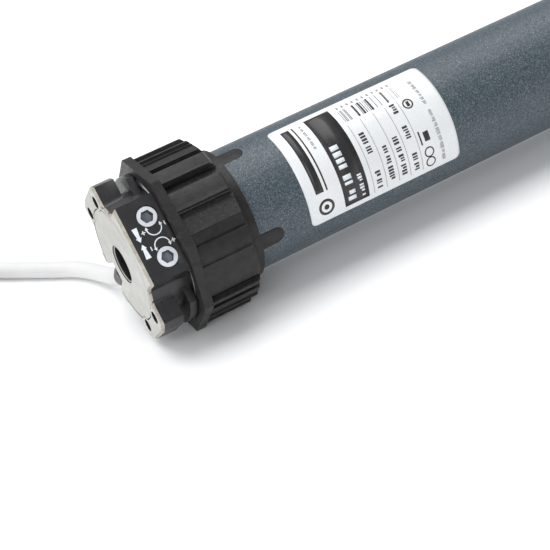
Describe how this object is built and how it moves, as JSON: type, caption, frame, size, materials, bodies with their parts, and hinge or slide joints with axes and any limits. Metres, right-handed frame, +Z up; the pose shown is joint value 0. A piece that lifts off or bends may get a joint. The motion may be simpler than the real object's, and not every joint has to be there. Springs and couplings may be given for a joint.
{
  "type": "roller shutter motor",
  "caption": "Tubular shutter motor: lobed fixing head with hex adjusters, octagonal crown, slim powder-coated tube, octagonal drive wheel and a coiled supply cable.",
  "frame": {"origin": "centre of the head's outer face, on the motor axis, at the mouth of the central bore", "axes": "+X along the motor axis from the head to the driven end, +Z up with the motor lying on a flat of its octagonal crown and drive wheel, the head rolled about X as on the bench"},
  "size_m": [0.615, 0.1612, 0.06],
  "materials": {
    "black_plastic": "glass-filled moulded plastic",
    "grey_plastic": "fine matt moulding",
    "white_plastic": "smooth moulding",
    "natural_plastic": "natural acetal",
    "powder_coat": "fine-texture slate powder coat with a slight sparkle",
    "label_foil": "silver-white polyester label",
    "circuit_board": "solder resist",
    "capacitor_case": "moulded case",
    "lamination_steel": "stacked laminations",
    "copper_winding": "enamelled copper wire",
    "die_cast": "as cast",
    "bearing_steel": "ground",
    "friction_lining": "friction lining",
    "sintered_steel": "sintered",
    "bronze": "sintered bronze",
    "white_sheath": "soft PVC sheath",
    "core_brown": "PVC insulation",
    "core_blue": "PVC insulation",
    "core_black": "PVC insulation",
    "core_earth": "PVC insulation"
  },
  "bodies": {
    "root": {"head_body": "black_plastic", "head_cover_plate": "grey_plastic", "head_sleeve": "black_plastic", "slide_ring": "white_plastic", "limit_frame": "black_plastic", "limit_microswitches": "black_plastic", "motor_tube": "powder_coat", "rating_label": "label_foil", "terminal_board": "circuit_board", "capacitor": "capacitor_case", "capacitor_holder": "black_plastic", "stator_core": "lamination_steel", "stator_windings": "copper_winding", "motor_end_shields": "die_cast", "motor_bearings": "bearing_steel", "motor_through_bolts": "bearing_steel", "brake_magnet": "lamination_steel", "brake_coil": "copper_winding", "brake_spring": "bearing_steel", "gearbox_input_plate": "die_cast", "ring_gear": "natural_plastic", "gearbox_end_cap": "black_plastic", "end_cap_screws": "bearing_steel", "output_bush": "bronze", "cable_gland": "black_plastic", "cable_run": "white_sheath", "cable_coil": "white_sheath", "cable_tail": "white_sheath", "core_brown": "core_brown", "core_blue": "core_blue", "core_black": "core_black", "core_earth": "core_earth"},
    "crown": {"crown": "black_plastic"},
    "limit_pinion": {"limit_pinion": "natural_plastic"},
    "limit_cams": {"limit_gear": "natural_plastic", "upper_limit_cam": "natural_plastic", "lower_limit_cam": "natural_plastic"},
    "upper_adjuster": {"upper_limit_adjuster": "white_plastic"},
    "lower_adjuster": {"lower_limit_adjuster": "white_plastic"},
    "brake_armature": {"brake_plate": "lamination_steel"},
    "rotor": {"rotor_core": "lamination_steel", "motor_shaft": "bearing_steel", "brake_disc": "friction_lining"},
    "stage_1": {"planet_carrier_1": "sintered_steel"},
    "stage_2": {"planet_carrier_2": "sintered_steel"},
    "output": {"planet_carrier_3": "sintered_steel", "output_shaft": "bearing_steel", "drive_wheel": "black_plastic", "retaining_clip": "bearing_steel"},
    "stage_1_planet_1": {"stage_1_planet_1": "sintered_steel"},
    "stage_1_planet_2": {"stage_1_planet_2": "sintered_steel"},
    "stage_1_planet_3": {"stage_1_planet_3": "sintered_steel"},
    "stage_2_planet_1": {"stage_2_planet_1": "sintered_steel"},
    "stage_2_planet_2": {"stage_2_planet_2": "sintered_steel"},
    "stage_2_planet_3": {"stage_2_planet_3": "sintered_steel"},
    "stage_3_planet_1": {"stage_3_planet_1": "sintered_steel"},
    "stage_3_planet_2": {"stage_3_planet_2": "sintered_steel"},
    "stage_3_planet_3": {"stage_3_planet_3": "sintered_steel"}
  },
  "joints": [
    {"name": "drive_spin", "type": "hinge", "parent": "root", "child": "output", "pos_m": [0.37, 0, 0], "axis": [1, 0, 0], "continuous": true},
    {"name": "stage_2_spin", "type": "hinge", "parent": "root", "child": "stage_2", "pos_m": [0.347, 0, 0], "axis": [1, 0, 0], "continuous": true},
    {"name": "stage_1_spin", "type": "hinge", "parent": "root", "child": "stage_1", "pos_m": [0.328, 0, 0], "axis": [1, 0, 0], "continuous": true},
    {"name": "rotor_spin", "type": "hinge", "parent": "root", "child": "rotor", "pos_m": [0.22, 0, 0], "axis": [1, 0, 0], "continuous": true},
    {"name": "crown_spin", "type": "hinge", "parent": "root", "child": "crown", "pos_m": [0.03, 0, 0], "axis": [1, 0, 0], "continuous": true},
    {"name": "limit_pinion_spin", "type": "hinge", "parent": "root", "child": "limit_pinion", "pos_m": [0.0215, 0.0118, 0.01552], "axis": [1, 0, 0], "continuous": true},
    {"name": "limit_cam_spin", "type": "hinge", "parent": "root", "child": "limit_cams", "pos_m": [0.028, 0, 0], "axis": [1, 0, 0], "continuous": true},
    {"name": "upper_adjuster_turn", "type": "hinge", "parent": "root", "child": "upper_adjuster", "pos_m": [0.0094, -0.00982, 0.01683], "axis": [0, -0.796, 0.6053], "continuous": true},
    {"name": "lower_adjuster_turn", "type": "hinge", "parent": "root", "child": "lower_adjuster", "pos_m": [0.0094, -0.01884, 0.00497], "axis": [0, -0.796, 0.6053], "continuous": true},
    {"name": "brake_release", "type": "slide", "parent": "root", "child": "brake_armature", "axis": [1, 0, 0], "range_m": [-0.0004, 0], "stiffness_N_per_m": 4000, "springref_m": 0.003, "deforming": ["brake_spring"]},
    {"name": "stage_1_planet_1_spin", "type": "hinge", "parent": "stage_1", "child": "stage_1_planet_1", "pos_m": [0.308, 0.01073, 0], "axis": [1, 0, 0], "continuous": true},
    {"name": "stage_1_planet_2_spin", "type": "hinge", "parent": "stage_1", "child": "stage_1_planet_2", "pos_m": [0.308, -0.00536, 0.00929], "axis": [1, 0, 0], "continuous": true},
    {"name": "stage_1_planet_3_spin", "type": "hinge", "parent": "stage_1", "child": "stage_1_planet_3", "pos_m": [0.308, -0.00536, -0.00929], "axis": [1, 0, 0], "continuous": true},
    {"name": "stage_2_planet_1_spin", "type": "hinge", "parent": "stage_2", "child": "stage_2_planet_1", "pos_m": [0.327, 0.01073, 0], "axis": [1, 0, 0], "continuous": true},
    {"name": "stage_2_planet_2_spin", "type": "hinge", "parent": "stage_2", "child": "stage_2_planet_2", "pos_m": [0.327, -0.00536, 0.00929], "axis": [1, 0, 0], "continuous": true},
    {"name": "stage_2_planet_3_spin", "type": "hinge", "parent": "stage_2", "child": "stage_2_planet_3", "pos_m": [0.327, -0.00536, -0.00929], "axis": [1, 0, 0], "continuous": true},
    {"name": "stage_3_planet_1_spin", "type": "hinge", "parent": "output", "child": "stage_3_planet_1", "pos_m": [0.347, 0.01073, 0], "axis": [1, 0, 0], "continuous": true},
    {"name": "stage_3_planet_2_spin", "type": "hinge", "parent": "output", "child": "stage_3_planet_2", "pos_m": [0.347, -0.00536, 0.00929], "axis": [1, 0, 0], "continuous": true},
    {"name": "stage_3_planet_3_spin", "type": "hinge", "parent": "output", "child": "stage_3_planet_3", "pos_m": [0.347, -0.00536, -0.00929], "axis": [1, 0, 0], "continuous": true}
  ],
  "couplings": [
    {"joint": "stage_2_spin", "follows": "drive_spin", "ratio": 5.5},
    {"joint": "stage_1_spin", "follows": "drive_spin", "ratio": 30.25},
    {"joint": "rotor_spin", "follows": "drive_spin", "ratio": 166.38},
    {"joint": "limit_pinion_spin", "follows": "crown_spin", "ratio": 6},
    {"joint": "limit_cam_spin", "follows": "crown_spin", "ratio": -1.5},
    {"joint": "stage_1_planet_1_spin", "follows": "drive_spin", "ratio": -77.786},
    {"joint": "stage_1_planet_2_spin", "follows": "drive_spin", "ratio": -77.786},
    {"joint": "stage_1_planet_3_spin", "follows": "drive_spin", "ratio": -77.786},
    {"joint": "stage_2_planet_1_spin", "follows": "drive_spin", "ratio": -14.143},
    {"joint": "stage_2_planet_2_spin", "follows": "drive_spin", "ratio": -14.143},
    {"joint": "stage_2_planet_3_spin", "follows": "drive_spin", "ratio": -14.143},
    {"joint": "stage_3_planet_1_spin", "follows": "drive_spin", "ratio": -2.5714},
    {"joint": "stage_3_planet_2_spin", "follows": "drive_spin", "ratio": -2.5714},
    {"joint": "stage_3_planet_3_spin", "follows": "drive_spin", "ratio": -2.5714}
  ]
}
